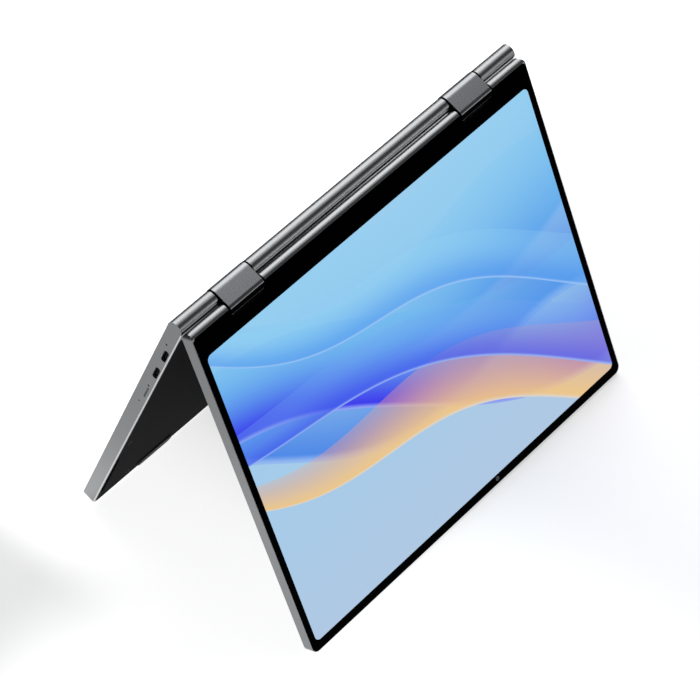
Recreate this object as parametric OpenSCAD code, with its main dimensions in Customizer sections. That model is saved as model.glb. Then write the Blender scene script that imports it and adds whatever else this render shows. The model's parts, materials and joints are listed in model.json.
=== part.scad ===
// Convertible laptop computer standing in tent stance.
// The base and the lid are drawn flat, each in its own frame: X across, Y from its hinge axis
// to its far edge, Z through its thickness. The last placing modules fold them into the tent.
// The keyboard face of the base and the back of the lid both look towards their own +Z.
// Seen by the user, +X is the left side of the machine.

/* [Base] */
// Width of the base and of the lid
width = 295.2; // [285:0.2:305]
// From the base hinge axis to the front edge
base_reach = 232; // [226:0.5:236]
// Thickness of the base at its round rear spine
base_rear_thick = 10.4; // [10.2:0.1:11]
// Thickness of the base at the front edge
base_front_thick = 9.2; // [9:0.1:10]
// Plan radius of the two front corners
base_corner = 6; // [4:0.5:14]
// Thickness of the aluminium walls
wall = 1.4; // [1.2:0.1:1.5]
// Bevel that runs round the bottom edge
bevel = 0.6; // [0.5:0.1:1]

/* [Lid] */
// From the lid hinge axis to the far edge
lid_reach = 229.5; // [226:0.5:236]
// Thickness of the lid at its round spine
lid_rear_thick = 8.4; // [8.2:0.1:8.8]
// Thickness of the lid at the far edge
lid_far_thick = 6.8; // [6.6:0.1:7.4]
// Plan radius of the two far corners of the lid
lid_corner = 5; // [4:0.5:9]
// Plan radius of the lid corners at the hinge
lid_hinge_corner = 3.5; // [2:0.5:5]
// Width of the lit picture
picture_w = 285; // [270:0.5:286]
// Height of the lit picture
picture_h = 209.4; // [200:0.1:211]
// Border of the glass between the picture and the hinge
chin = 15.2; // [14.5:0.1:16]
// Thickness of the cover glass
glass_thick = 0.8; // [0.6:0.1:0.9]

/* [Hinge] */
// Distance between the two hinge axes
axis_gap = 10; // [9.8:0.1:10.6]
// Angle of the tent, between the base and the lid
tent_angle = 43.4; // [35:0.1:55]
// Angle that the hinges have turned on the base in the tent
base_turn = 176; // [150:1:180]
// Length of each hinge cover
cover_len = 28; // [26:0.5:30]
// From the side of the machine to the hinge cover
cover_inset = 32; // [30:0.5:34]
// Spring washers on each hinge shaft
washers = 4; // [2:1:4]

/* [Keyboard] */
// Pitch of the keys across
key_pitch = 18.6; // [18:0.1:18.6]
// Pitch of the key rows
row_pitch = 18.4; // [18:0.1:18.6]
// Pitch of the low function row
low_pitch = 11.8; // [11:0.1:12]
// Gap between neighbouring keycaps
key_gap = 2.2; // [2:0.1:2.6]
// Travel of a key
key_travel = 1.2; // [1:0.1:1.3]
// Touchpad size across and deep
pad_size = [120, 73]; // [100:1:125]

/* [Hidden] */
$fn = 64;

metal = [0.50, 0.51, 0.52];
metal_dark = [0.20, 0.20, 0.21];
steel = [0.62, 0.62, 0.64];
black = [0.05, 0.05, 0.055];
board_green = [0.06, 0.20, 0.12];
copper = [0.72, 0.42, 0.26];

half = width / 2;
base_r = base_rear_thick / 2;
lid_r = lid_rear_thick / 2;
base_taper = atan((base_rear_thick - base_front_thick) / base_reach);
lid_far_high = lid_far_thick - lid_r;
lid_round = 1.5;
rear_corner = 1;
eps = 0.01;

// Stance: the bottom bevel of the base and the round back edge of the lid stand on the floor.
lid_turn = 360 - tent_angle - base_turn;
function spin(v, a) = [v[0] * cos(a) - v[1] * sin(a), v[0] * sin(a) + v[1] * cos(a)];
// A point of the floor frame, whose plane is the bottom face, told in the base frame
function floor_point(y, z) = spin([y, z - base_r], base_taper);
lid_axis_b = spin([0, axis_gap], base_turn);
base_foot = floor_point(base_reach, bevel);
base_brim = floor_point(base_reach, base_front_thick);
lid_foot = [lid_reach - lid_round, lid_far_high - lid_round]
    + lid_round * [cos(tent_angle / 2), sin(tent_angle / 2)];
foot_line = lid_axis_b + spin(lid_foot, -tent_angle) - base_foot;
base_tilt = 180 - atan2(foot_line[1], foot_line[0]);
reach_back = spin(base_brim, base_tilt)[0];
reach_fore = spin(lid_axis_b + spin([lid_reach, -lid_r], -tent_angle), base_tilt)[0];
base_axis = [-(reach_back + reach_fore) / 2, -spin(base_foot, base_tilt)[1]];

// Hinge: the carrier frame has its origin on the base axis and +Z towards the lid axis.
cover_in = half - cover_inset - cover_len;
cover_out = half - cover_inset;
base_round = base_r + 0.3;
lid_cap = lid_r + 0.3;
run_gap = 0.4;
end_gap = 0.6;
base_notch = base_round + run_gap;
cover_skin = 0.9;
washer_r = 2.2;
washer_thick = 0.7;
washer_pitch = 1;
washer_x = cover_in + 4.5;
pocket_gap = 0.3;
shaft_r = 1.3;
shaft_fit = 0.05;
hub_r = 1.8;
bracket_len = 25;
// The cover is open between these two angles, measured about the lid axis in the carrier frame.
mouth_from = 39.6;
mouth_to = 105;
// The tapered sides of the carrier pass through the glass plane when the lid is shut.
side_lean = asin((base_round - lid_cap) / axis_gap);
lid_notch = (lid_cap + lid_r * sin(side_lean)) / cos(side_lean) + 0.25;

// Heights inside the base
deck_under = base_r - wall;
tray_low = 2;
tray_thick = 0.6;
key_top = base_r + 0.2;
// A pressed key stops just above the tray.
key_thick = key_top - tray_low - tray_thick - key_travel - 0.2;
web_top = base_r - 0.5;
board_low = -0.4;
board_thick = 1;
cover_thick = 1;
cavity_rear = 8.2;
side_wall = 1.5;

// Keyboard place
keys_w = 15 * key_pitch;
keys_y = 22;
row_y = [for (r = [0:5]) keys_y + (r == 0 ? 0 : low_pitch + (r - 1) * row_pitch)];
keys_end = keys_y + low_pitch + 5 * row_pitch - key_gap;
key_side = 0.35;
tray_half = keys_w / 2 - key_gap / 2 + 1.3;
pad_y = 141;
pad_gap = 0.3;
pad_bar = [143.5, 3];

// Widths of the keys in each row, in key pitches, from the user's left
row_units = [
    [for (i = [0:13]) 1],
    [for (i = [0:13]) i == 13 ? 2 : 1],
    [for (i = [0:13]) i == 0 || i == 13 ? 1.5 : 1],
    [for (i = [0:12]) i == 0 ? 1.75 : (i == 12 ? 2.25 : 1)],
    [for (i = [0:11]) i == 0 ? 2.25 : (i == 11 ? 2.75 : 1)]
];
modifier_at = [[0, 1.25], [1.25, 1], [2.25, 1], [3.25, 1.25], [10, 1], [11, 1]];
space_at = [4.5, 5.5];
arrow_at = 12;
function start(u, i) = i == 0 ? 0 : u[i - 1] + start(u, i - 1);

// Screws of the bottom cover, [x, y], mirrored to both sides, and one in the middle
screw_at = [[half - 9, 14], [half - 9, 154], [half - 29, 222.5], [40, 222.5], [50, 13.5]];
screw_mid = [0, 134];
boss_r = 2.2;
screw_r = 0.8;
head_r = 1.9;

// Right side openings, [y, z, width, height]
usb_c_at = [[30, -2.1], [51.2, -2]];
usb_c_cut = [11.6, 3.5];
card_at = [76.3, -1.95];
card_cut = [11.2, 1.1];
light_at = [18.8, 0.25];
light_r = 0.65;
pinholes = [[68.6, -1.3, 0.7], [89.7, -0.2, 0.55]];
// Left side openings
usb_a_at = [34, -1];
usb_a_cut = [13, 5.6];
jack_at = [58, -1];
jack_r = 1.8;
jack_len = 12;
jack_collar = 2.7;
foot_high = 0.9;

// ---- Placing ----

module in_base() { translate([0, base_axis[0], base_axis[1]]) rotate([base_tilt, 0, 0]) children(); }
module in_carrier() { in_base() rotate([base_turn, 0, 0]) children(); }
module in_lid() { in_carrier() translate([0, 0, axis_gap]) rotate([lid_turn, 0, 0]) children(); }
module in_floor() { rotate([base_taper, 0, 0]) translate([0, 0, -base_r]) children(); }
module on_right() { mirror([1, 0, 0]) children(); }
module both_sides() { children(); mirror([1, 0, 0]) children(); }

// ---- Shared shapes ----

// Extrudes a Y-Z outline along X
module along_x(x0, x1) { translate([x0, 0, 0]) rotate([90, 0, 90]) linear_extrude(x1 - x0) children(); }

// Plan outline with its own radii at the hinge end and at the far end
module plan(w, y0, y1, r0, r1) {
    translate([-w / 2, y0 + r0]) square([w, y1 - y0 - r0 - r1]);
    translate([-w / 2 + r0, y0]) square([w - 2 * r0, r0 + 1]);
    translate([-w / 2 + r1, y1 - r1 - 1]) square([w - 2 * r1, r1 + 1]);
    for (s = [-1, 1]) {
        translate([s * (w / 2 - r0), y0 + r0]) circle(r0);
        translate([s * (w / 2 - r1), y1 - r1]) circle(r1);
    }
}

module plate(w, y0, y1, z0, z1, r) {
    translate([0, 0, z0]) linear_extrude(z1 - z0) plan(w, y0, y1, r, r);
}

module block(x0, x1, y0, y1, z0, z1) {
    translate([x0, y0, z0]) cube([x1 - x0, y1 - y0, z1 - z0]);
}

// A slot with round ends that runs along Y and is cut through along X
module side_slot(x0, x1, at, size) {
    r = min(size[0], size[1]) / 2;
    along_x(x0, x1) {
        translate([at[0] - size[0] / 2 + r, at[1] - size[1] / 2]) square([size[0] - 2 * r, size[1]]);
        for (s = [-1, 1]) translate([at[0] + s * (size[0] / 2 - r), at[1]]) circle(r);
    }
}

module rod(r, x0, x1) { translate([x0, 0, 0]) rotate([0, 90, 0]) cylinder(r = r, h = x1 - x0); }

// ---- Base: casings ----

module base_outline() {
    past = base_reach + 2;
    circle(base_r);
    polygon([[0, base_r], [past, base_r], floor_point(past, 0), floor_point(0, 0)]);
}

// What the bevel takes off below an edge: first value outwards, second value up
bevel_cut = [[-bevel, -1], [-bevel, 0], [0, bevel], [1, bevel], [1, -1]];

module base_body() {
    straight = base_reach - base_corner;
    difference() {
        intersection() {
            along_x(-half, half) base_outline();
            in_floor() translate([0, 0, -1]) linear_extrude(base_rear_thick + 2)
                plan(width, -base_r, base_reach, rear_corner, base_corner);
        }
        in_floor() {
            both_sides() {
                translate([half, straight, 0]) rotate([90, 0, 0]) linear_extrude(straight) polygon(bevel_cut);
                translate([half - base_corner, straight, 0]) intersection() {
                    translate([0, 0, -1]) cube([base_corner + 1, base_corner + 1, 2]);
                    rotate_extrude() translate([base_corner, 0]) polygon(bevel_cut);
                }
            }
            along_x(base_corner - half, half - base_corner) translate([base_reach, 0]) polygon(bevel_cut);
        }
    }
}

module base_cavity() {
    intersection() {
        block(-half, half, cavity_rear, base_reach, -20, deck_under);
        in_floor() translate([0, 0, -1]) linear_extrude(base_rear_thick + 2)
            plan(width - 2 * side_wall, cavity_rear, base_reach - side_wall, 1, base_corner - side_wall);
    }
    rod(base_r - 1.2, -cover_in - 1, cover_in + 1);
    block(-cover_in + 3, cover_in - 3, 0, cavity_rear + 1, 1.4 - base_r, deck_under);
    both_sides() {
        rod(base_r - 1.2, cover_out + 2, half - 5);
        block(cover_out + 2, half - 5, 0, cavity_rear + 1, 1.4 - base_r, deck_under);
    }
}

module cover_notch(y) {
    both_sides() block(cover_in - end_gap, cover_out + end_gap, -20, y, -20, 20);
}

module top_case() {
    color(metal) in_base() {
        difference() {
            base_body();
            base_cavity();
            cover_notch(base_notch);
            plate(2 * tray_half, keys_y - 1.5, keys_end + 1.5, deck_under - 1, base_r + 1, 2);
            plate(pad_size[0] + 2 * pad_gap, pad_y, pad_y + pad_size[1] + 2 * pad_gap, deck_under - 1, base_r + 1, 3);
            for (p = usb_c_at) side_slot(-half - 1, -half + 3, p, usb_c_cut);
            side_slot(-half - 1, -half + 3, card_at, card_cut);
            translate([0, light_at[0], light_at[1]]) rod(light_r + 0.05, -half - 1, -half + 3);
            for (p = pinholes) translate([0, p[0], p[1]]) rod(p[2], -half - 1, -half + 3);
            along_x(half - 3, half + 1) translate([usb_a_at[0] - usb_a_cut[0] / 2, usb_a_at[1] - usb_a_cut[1] / 2])
                square(usb_a_cut);
            translate([0, jack_at[0], jack_at[1]]) rod(jack_collar + 0.05, half - 3, half + 1);
        }
        for (s = [-1, 1], p = screw_at) boss([s * p[0], p[1]]);
        boss(screw_mid);
    }
}

module boss(p) {
    low = -base_r + p[1] * tan(base_taper) + cover_thick + 0.1;
    difference() {
        translate([p[0], p[1], low]) cylinder(r = boss_r, h = deck_under - low + eps);
        translate([p[0], p[1], low - 1]) cylinder(r = screw_r + 0.02, h = 5.4);
    }
}

module bottom_cover() {
    color(metal_dark) in_base() in_floor() difference() {
        linear_extrude(cover_thick)
            plan(width - 2 * side_wall - 0.3, cavity_rear + 0.15, base_reach - side_wall - 0.15, 1, base_corner - side_wall);
        for (s = [-1, 1], p = screw_at) screw_seat([s * p[0], p[1]]);
        screw_seat(screw_mid);
        both_sides() plate_slot(half - 4, 169, 217, 1.8);
        for (i = [-6:6]) plate_slot(fan_at[0] + 3.2 * i, fan_at[1] - 13, fan_at[1] + 13, 0.8);
        for (i = [-7:7]) plate_slot(fan_at[0] + 2.8 * i, 11.5, 19, 0.7);
    }
}

module screw_seat(p) {
    translate([p[0], p[1], -1]) cylinder(r = screw_r + 0.1, h = 4);
    translate([p[0], p[1], -1]) cylinder(r = head_r + 0.1, h = 1.65);
}

module plate_slot(x, y0, y1, r) {
    translate([x, 0, -1]) linear_extrude(4) {
        translate([-r, y0 + r]) square([2 * r, y1 - y0 - 2 * r]);
        for (y = [y0 + r, y1 - r]) translate([0, y]) circle(r);
    }
}

module bottom_screws() {
    color(steel) in_base() in_floor() {
        for (s = [-1, 1], p = screw_at) screw([s * p[0], p[1]]);
        screw(screw_mid);
    }
}

module screw(p) {
    translate([p[0], p[1], 0.65 - 0.5]) difference() {
        union() {
            cylinder(r = head_r, h = 0.5);
            cylinder(r = screw_r, h = 4.2);
        }
        for (a = [0, 90]) rotate(a) block(-1, 1, -0.2, 0.2, -1, 0.25);
    }
}

module rubber_feet() {
    color(black) in_base() in_floor() {
        both_sides() translate([93.5, 0, 0]) plate(31, 221.5, 229.5, -foot_high, 0, 3.9);
        both_sides() translate([80, 0, 0]) plate(46, 40, 47, -foot_high, 0, 3.4);
    }
}

// ---- Base: keyboard and touchpad ----

module key(u0, u, y, depth) {
    x1 = keys_w / 2 - u0 * key_pitch - key_gap / 2;
    w = u * key_pitch - key_gap;
    translate([x1 - w / 2, 0, 0]) plate(w, y, y + depth, key_top - key_thick, key_top, 1.2);
}

module key_hole(u0, u, y, depth) {
    x1 = keys_w / 2 - u0 * key_pitch - key_gap / 2 + key_side;
    w = u * key_pitch - key_gap + 2 * key_side;
    block(x1 - w, x1, y - key_side, y + depth + key_side, 0, 9);
}

module row_keys(r) {
    u = row_units[r];
    for (i = [0:len(u) - 1]) key(start(u, i), u[i], row_y[r], row_depth(r));
}

function row_depth(r) = (r == 0 ? low_pitch : row_pitch) - key_gap;
arrow_half = (row_pitch - key_gap - 1) / 2;

module keyboard_tray() {
    color(metal_dark) in_base() difference() {
        plate(2 * tray_half + 5, keys_y - 3.5, keys_end + 3.2, tray_low, deck_under, 2);
        plate(2 * tray_half, keys_y - 1.5, keys_end + 1.5, tray_low + tray_thick, deck_under + 1, 2);
    }
}

module keyboard_web() {
    color(black) in_base() difference() {
        plate(2 * tray_half - 0.2, keys_y - 1.4, keys_end + 1.4, tray_low + tray_thick, web_top, 1.9);
        for (r = [0:4]) {
            u = row_units[r];
            for (i = [0:len(u) - 1]) key_hole(start(u, i), u[i], row_y[r], row_depth(r));
        }
        key_hole(14, 1, row_y[0], row_depth(0));
        for (m = modifier_at) key_hole(m[0], m[1], row_y[5], row_depth(5));
        key_hole(space_at[0], space_at[1], row_y[5], row_depth(5));
        for (i = [0:2]) key_hole(arrow_at + i, 1, row_y[5], row_depth(5));
    }
}

module function_keys() { color(black) in_base() row_keys(0); }
module number_keys() { color(black) in_base() row_keys(1); }
module upper_letter_keys() { color(black) in_base() row_keys(2); }
module home_letter_keys() { color(black) in_base() row_keys(3); }
module lower_letter_keys() { color(black) in_base() row_keys(4); }
module modifier_keys() { color(black) in_base() for (m = modifier_at) key(m[0], m[1], row_y[5], row_depth(5)); }
module space_bar() { color(black) in_base() key(space_at[0], space_at[1], row_y[5], row_depth(5)); }
module arrow_keys() {
    color(black) in_base() {
        for (i = [0, 2]) key(arrow_at + i, 1, row_y[5], row_depth(5));
        for (k = [0, 1]) key(arrow_at + 1, 1, row_y[5] + k * (arrow_half + 1), arrow_half);
    }
}
module power_key() { color(black) in_base() key(14, 1, row_y[0], row_depth(0)); }

module touchpad() {
    color(metal_dark) in_base() {
        plate(pad_size[0], pad_y + pad_gap, pad_y + pad_gap + pad_size[1], base_r - 1.7, base_r - 0.1, 2.7);
        // The pad rocks on this round bar.
        translate([0, pad_bar[0], pad_bar[1]]) rod(0.7, -40, 40);
    }
}

// ---- Base: electronics ----

fan_at = [22, 50];
fan_low = -3.8;
fan_h = 5.4;

module board_chip(x, y, w, d, h) { block(x - w / 2, x + w / 2, y - d / 2, y + d / 2, board_low - h, board_low); }

module main_board() {
    color(board_green) in_base() {
        difference() {
            block(-half + 6.5, -10, 27, 122, board_low, board_low + board_thick);
            for (p = [[-136, 100], [-16, 31], [-76, 117]]) translate([p[0], p[1], board_low - 1]) cylinder(r = 1.3, h = 4);
        }
        board_chip(-62, 62, 34, 25, 0.9);
        for (i = [0:3]) board_chip(-98, 40 + 13 * i, 14, 11, 1);
        for (i = [0:5]) board_chip(-82 + 8 * i, 38, 6, 6, 2);
        board_chip(-60, 84, 9, 9, 0.9);
        board_chip(-112, 112, 22, 5, 2.6);
    }
}

module side_board() {
    color(board_green) in_base() block(half - 44, half - 16.1, 25, 72, -3.7, -3);
}

module solid_state_drive() {
    color(board_green) in_base() {
        block(-100, -20, 96, 118, -2.6, -1.8);
        for (i = [0:2]) block(-92 + 22 * i, -76 + 22 * i, 99, 115, -3.5, -2.6);
        block(-101, -97, 97, 117, -1.8, board_low);
    }
}

module wireless_card() {
    color(board_green) in_base() {
        block(-38, -16, 68, 90, -1.9, -1.2);
        block(-35, -20, 71, 86, -3, -1.9);
        block(-38, -35, 69, 89, -1.2, board_low);
    }
}

module battery_pack() {
    color(black) in_base() {
        for (i = [0:3]) block(-107 + 54 * i, -107 + 54 * i + 52, 138, 216, -3, 1.8);
        block(-107, 107, 152, 156, -3, 0);
        block(-107, 107, 200, 204, -3, 0);
        block(-30, 30, 136.6, 138.5, -2, 0.5);
    }
}

module fan_housing() {
    color(metal_dark) in_base() translate([fan_at[0], fan_at[1], fan_low]) {
        difference() {
            block(-24, 24, -24, 24, 0, fan_h);
            translate([0, 0, 0.5]) cylinder(r = 22, h = fan_h - 1);
            block(-22, 22, -25, 0, 0.5, fan_h - 0.5);
            translate([0, 0, -1]) difference() {
                cylinder(r = 15, h = fan_h + 2);
                translate([0, 0, fan_h - 1]) cylinder(r = 6, h = 4);
                for (a = [45, 165, 285]) rotate(a) block(0, 16, -1.2, 1.2, fan_h - 1, fan_h + 3);
            }
        }
        translate([0, 0, 1]) cylinder(r = 0.8, h = fan_h - 1);
    }
}

module fan_impeller() {
    color(black) in_base() translate([fan_at[0], fan_at[1], fan_low + 0.9]) difference() {
        union() {
            cylinder(r = 9, h = 3.4);
            cylinder(r = 19.5, h = 0.5);
            for (i = [0:26]) rotate(i * 360 / 27) translate([8, 0, 0]) rotate(18) block(0, 12.3, -0.3, 0.3, 0, 3.4);
        }
        translate([0, 0, -1]) cylinder(r = 0.86, h = 6);
    }
}

pipe_w = 6;
pipe_z = [-3.8, -2.2];
pipe_bend = 10;

module pipe_elbow(x, y, a) {
    translate([x, y, pipe_z[0]]) rotate(a) intersection() {
        difference() {
            cylinder(r = pipe_bend + pipe_w / 2, h = pipe_z[1] - pipe_z[0]);
            translate([0, 0, -1]) cylinder(r = pipe_bend - pipe_w / 2, h = 9);
        }
        cube([30, 30, 9]);
    }
}

module heat_pipe() {
    duct = fan_at[0] - 30.2;
    color(copper) in_base() {
        block(-78, duct - pipe_bend, 62 - pipe_w / 2, 62 + pipe_w / 2, pipe_z[0], pipe_z[1]);
        pipe_elbow(duct - pipe_bend, 62 - pipe_bend, 0);
        block(duct - pipe_w / 2, duct + pipe_w / 2, 15 + pipe_bend, 62 - pipe_bend, pipe_z[0], pipe_z[1]);
        pipe_elbow(duct + pipe_bend, 15 + pipe_bend, 180);
        block(duct + pipe_bend, fan_at[0] + 22, 15 - pipe_w / 2, 15 + pipe_w / 2, pipe_z[0], pipe_z[1]);
        block(-79, -45, 49.5, 74.5, pipe_z[1], board_low - 0.9);
    }
}

module heat_sink() {
    color(copper) in_base() translate([fan_at[0], 0, 0]) {
        block(-22, 22, 10.5, 25.5, 1, 1.4);
        for (i = [0:20]) block(-22 + 2.185 * i, -21.7 + 2.185 * i, 10.5, 25.5, pipe_z[1] + 0.02, 1.1);
    }
}

module speaker() {
    color(black) in_base() difference() {
        block(half - 29, half - 2, 160, 217.5, -3, 2);
        block(half - 26, half - 4, 164, 213.5, -2.3, 1.3);
        block(half - 5.6, half - 2.4, 169, 216, -4, 0);
    }
}
module left_speaker() { speaker(); }
module right_speaker() { on_right() speaker(); }

// ---- Base: sockets ----

module usb_c(at) {
    color(steel) in_base() difference() {
        union() {
            side_slot(-half + 0.6, -half + 1.5, at, [usb_c_cut[0] - 0.2, usb_c_cut[1] - 0.2]);
            side_slot(-half + 1.4, -half + 9, at, [9.2, 3]);
        }
        difference() {
            side_slot(-half, -half + 8, at, [8.4, 2.4]);
            block(-half + 1.2, -half + 9, at[0] - 3.3, at[0] + 3.3, at[1] - 0.35, at[1] + 0.35);
        }
    }
}
module right_usb_c_rear() { usb_c(usb_c_at[0]); }
module right_usb_c_front() { usb_c(usb_c_at[1]); }

module card_reader() {
    color(steel) in_base() difference() {
        block(-half + side_wall, -half + 17, card_at[0] - 7, card_at[0] + 7, -2.7, board_low);
        block(-half, -half + 15, card_at[0] - 5.5, card_at[0] + 5.5, card_at[1] - 0.5, card_at[1] + 0.5);
    }
}

module charge_light() {
    color("white") in_base() translate([0, light_at[0], light_at[1]]) {
        rod(light_r, -half + 0.6, -half + 5);
        rod(1.2, -half + side_wall + 0.05, -half + 5);
    }
}

module usb_a_port() {
    w = usb_a_cut[0] - 0.1;
    h = usb_a_cut[1] - 0.1;
    color(steel) in_base() translate([0, usb_a_at[0], usb_a_at[1]]) difference() {
        block(half - 15, half - 0.3, -w / 2, w / 2, -h / 2, h / 2);
        difference() {
            block(half - 13.5, half, -w / 2 + 0.4, w / 2 - 0.4, -h / 2 + 0.4, h / 2 - 0.4);
            block(half - 14, half - 1.5, -5.6, 5.6, 0.1, 1.9);
        }
    }
}

module audio_jack() {
    color(black) in_base() translate([0, jack_at[0], jack_at[1]]) difference() {
        union() {
            rod(jack_collar, half - 3, half - 0.2);
            block(half - 16, half - side_wall - 0.1, -3.2, 3.2, -jack_collar, jack_collar);
        }
        rod(jack_r, half - jack_len - 0.2, half + 1);
    }
}

// ---- Hinge: parts fixed to the base and to the lid ----

bracket_in = cover_in - run_gap - 0.3 - bracket_len;
bracket_out = cover_in - run_gap - 0.3;
leaf_end = bracket_out - 4;
hinge_screw_x = [bracket_in + 5, leaf_end - 5];

module base_bracket() {
    color(steel) in_base() difference() {
        union() {
            rod(3.4, bracket_in, bracket_out);
            along_x(bracket_in, leaf_end) polygon([
                [0, -2], [3, -2], [9, 1.9], [17.6, 1.9], [17.6, 3.2], [7, 3.2], [0, 3.2]
            ]);
        }
        rod(hub_r + 0.02, bracket_in - 1, bracket_out + 1);
        for (x = hinge_screw_x) translate([x, 13, 0]) cylinder(r = 0.85, h = 5);
    }
}
module left_base_bracket() { base_bracket(); }
module right_base_bracket() { on_right() base_bracket(); }

module hinge_screws() {
    color(steel) in_base() both_sides() for (x = hinge_screw_x) translate([x, 13, 0.9]) {
        cylinder(r = 1.6, h = 1);
        cylinder(r = 0.8, h = deck_under - 0.9);
    }
}

module shaft() {
    color(steel) {
        rod(shaft_r, cover_in - 1, cover_out - 2.5);
        rod(hub_r, bracket_in + 1, cover_in - 0.5);
    }
}
module left_base_shaft() { in_base() shaft(); }
module right_base_shaft() { in_base() on_right() shaft(); }
module left_lid_shaft() { in_lid() shaft(); }
module right_lid_shaft() { in_lid() on_right() shaft(); }

// The washers are pressed together on the shafts and hold the lid where it is put.
module washer_stack() {
    color(steel) both_sides() for (i = [0:washers - 1]) difference() {
        rod(washer_r, washer_x + i * washer_pitch, washer_x + i * washer_pitch + washer_thick);
        rod(shaft_r + 0.02, washer_x - 1, washer_x + washers * washer_pitch);
    }
}
module base_hinge_washers() { in_base() washer_stack(); }
module lid_hinge_washers() { in_lid() washer_stack(); }

module lid_bracket() {
    color(steel) in_lid() difference() {
        union() {
            rod(2.8, bracket_in, bracket_out);
            along_x(bracket_in, leaf_end) polygon([
                [0, -1.2], [4, -1.2], [9, 0.9], [44, 0.9], [44, 2], [6, 2], [0, 2.4]
            ]);
        }
        rod(hub_r + 0.02, bracket_in - 1, bracket_out + 1);
        for (x = hinge_screw_x, y = [18, 38]) translate([x, y, 0]) cylinder(r = 0.85, h = 5);
    }
}
module left_lid_bracket() { lid_bracket(); }
module right_lid_bracket() { on_right() lid_bracket(); }

// ---- Hinge: carriers that hold the two axes together ----

// Two round ends joined by their common tangents, in Y-Z
module tangent_pair(r0, r1) {
    lean = asin((r0 - r1) / axis_gap);
    circle(r0);
    translate([0, axis_gap]) circle(r1);
    polygon([
        [r0 * cos(lean), r0 * sin(lean)], [r1 * cos(lean), axis_gap + r1 * sin(lean)],
        [-r1 * cos(lean), axis_gap + r1 * sin(lean)], [-r0 * cos(lean), r0 * sin(lean)]
    ]);
}

// The mouth is the part of the lid end that turns through the notch in the glass: the cover
// leaves it open and the dark nose of the block fills it.
module mouth(grow) {
    translate([0, axis_gap]) polygon([
        [0, 0], 9 * [cos(mouth_from - grow * 8), sin(mouth_from - grow * 8)], [0, 13],
        9 * [cos(mouth_to + grow * 8), sin(mouth_to + grow * 8)]
    ]);
}

module nose(grow) {
    intersection() {
        translate([0, axis_gap]) circle(lid_cap - 0.15 + grow);
        mouth(grow);
    }
}

module block_outline(grow) {
    tangent_pair(base_round - cover_skin + grow, lid_cap - cover_skin + grow);
    nose(grow);
}

module hinge_block() {
    stack = washers * washer_pitch;
    color(black) in_carrier() difference() {
        along_x(cover_in + 0.1, cover_out - 0.1) block_outline(0);
        for (z = [0, axis_gap]) translate([0, 0, z]) {
            rod(shaft_r + shaft_fit, cover_in - 1, cover_out - 2);
            rod(washer_r + pocket_gap, washer_x - pocket_gap, washer_x + stack);
        }
    }
}
module left_hinge_block() { hinge_block(); }
module right_hinge_block() { on_right() hinge_block(); }

module hinge_cover() {
    color(metal) in_carrier() along_x(cover_in, cover_out) difference() {
        tangent_pair(base_round, lid_cap);
        block_outline(0.04);
        mouth(0.04);
    }
}
module left_hinge_cover() { hinge_cover(); }
module right_hinge_cover() { on_right() hinge_cover(); }

// ---- Lid ----

glass_y = lid_reach - chin - picture_h - 6.35;
glass_end = lid_reach - 0.4;
glass_w = width - 1;
glass_in = -lid_r + glass_thick;
lid_inner = 7;
lid_skin = 1;
picture_y = glass_y + chin;
camera_at = [25.5, glass_end - 3.2];

module lid_outline() {
    far = lid_reach - lid_round;
    circle(lid_r);
    translate([far, lid_far_high - lid_round]) circle(lid_round);
    polygon([
        [0, -lid_r], [lid_reach, -lid_r], [lid_reach, lid_far_high - lid_round],
        [far, lid_far_high], [0, lid_r]
    ]);
}

module lid_cavity() {
    intersection() {
        along_x(-half, half) polygon([
            [lid_inner, glass_in - 1], [lid_reach - lid_skin, glass_in - 1],
            [lid_reach - lid_skin, lid_far_high - lid_skin], [lid_inner, lid_r - lid_skin]
        ]);
        translate([0, 0, -20]) linear_extrude(40)
            plan(width - 2 * lid_skin, lid_inner, lid_reach - lid_skin, 1, lid_corner - lid_skin);
    }
    rod(lid_r - 1, -cover_in - 1, cover_in + 1);
    block(-cover_in + 3, cover_in - 3, 0, lid_inner + 1, glass_in + 0.5, 2.6);
}

module glass_plan(w, y0, y1) { plan(w, y0, y1, lid_hinge_corner - 0.5, lid_corner - 0.4); }

module lid_shell() {
    color(metal) in_lid() {
        difference() {
            intersection() {
                along_x(-half, half) lid_outline();
                translate([0, 0, -20]) linear_extrude(40)
                    plan(width, -lid_r, lid_reach, lid_hinge_corner, lid_corner);
            }
            lid_cavity();
            translate([0, 0, -20]) linear_extrude(20 + glass_in) glass_plan(glass_w, glass_y, glass_end);
            cover_notch(lid_notch);
        }
        both_sides() for (x = hinge_screw_x, y = [18, 38])
            translate([x, y, 2.05]) cylinder(r = 2, h = lid_r - lid_skin - 2.05);
    }
}

module display_glass() {
    color(black) in_lid() difference() {
        translate([0, 0, -lid_r]) linear_extrude(glass_thick) glass_plan(glass_w - 0.1, glass_y + 0.05, glass_end - 0.05);
        cover_notch(lid_notch);
    }
}

module lcd_panel() {
    color([0.35, 0.55, 0.85]) in_lid()
        plate(picture_w + 3, picture_y - 2, picture_y + picture_h + 1, glass_in, glass_in + 1.1, 1);
}

module light_guide() {
    color("white") in_lid()
        plate(picture_w + 3, picture_y - 2, picture_y + picture_h + 1, glass_in + 1.15, glass_in + 2.4, 1);
}

module panel_board() {
    color(board_green) in_lid() {
        block(-100, 100, lid_inner + 0.3, picture_y - 2.2, glass_in + 0.2, glass_in + 1);
        for (i = [-2:2]) block(-6 + 34 * i, 6 + 34 * i, lid_inner + 0.9, picture_y - 2.8, glass_in + 1, glass_in + 1.7);
    }
}

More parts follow.
